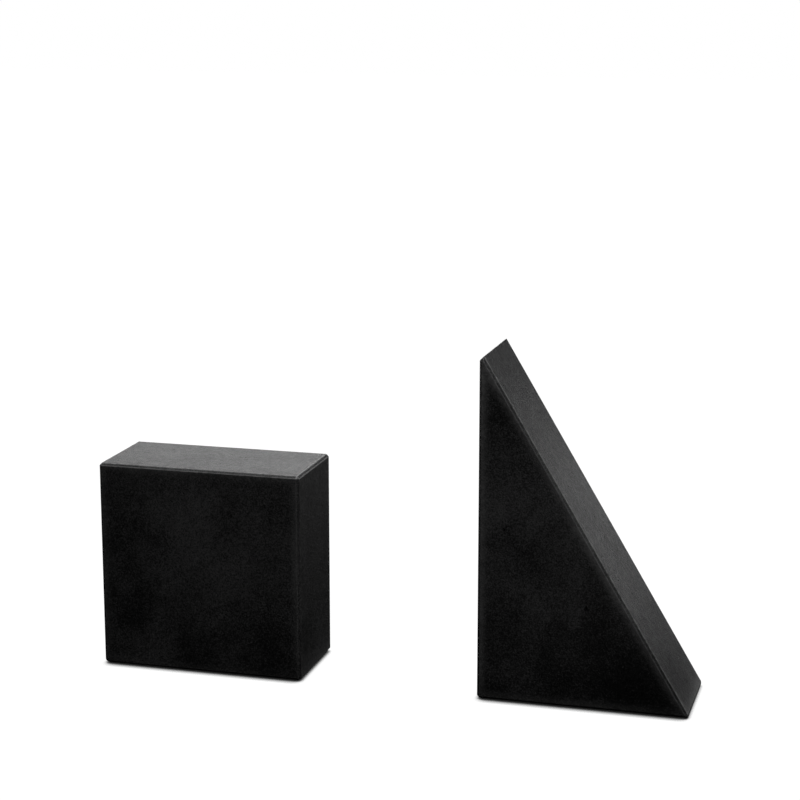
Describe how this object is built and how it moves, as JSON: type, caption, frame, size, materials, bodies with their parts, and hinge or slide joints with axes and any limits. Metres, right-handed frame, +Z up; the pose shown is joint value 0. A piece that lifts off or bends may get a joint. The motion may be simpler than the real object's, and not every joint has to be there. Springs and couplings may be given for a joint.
{
  "type": "book ends",
  "caption": "Free-standing cast concrete book ends: a square block and a tall right-angled wedge, each on a thin non-slip pad, holding books upright between their flat faces.",
  "frame": {"origin": "on the shelf, under the middle of the pair's bounding box at rest", "axes": "+X along the row of books from the block to the wedge, +Y to the back, +Z up from the shelf"},
  "size_m": [0.342, 0.058, 0.195],
  "materials": {
    "block_concrete": "matte",
    "wedge_concrete": "matte",
    "base_pad": "matte"
  },
  "bodies": {
    "block": {"block_body": "block_concrete", "block_base_pad": "base_pad"},
    "wedge": {"wedge_body": "wedge_concrete", "wedge_base_pad": "base_pad"}
  },
  "joints": [
    {"name": "row_slide", "type": "slide", "parent": "block", "child": "wedge", "axis": [1, 0, 0], "range_m": [-0.102, 0.297]}
  ]
}
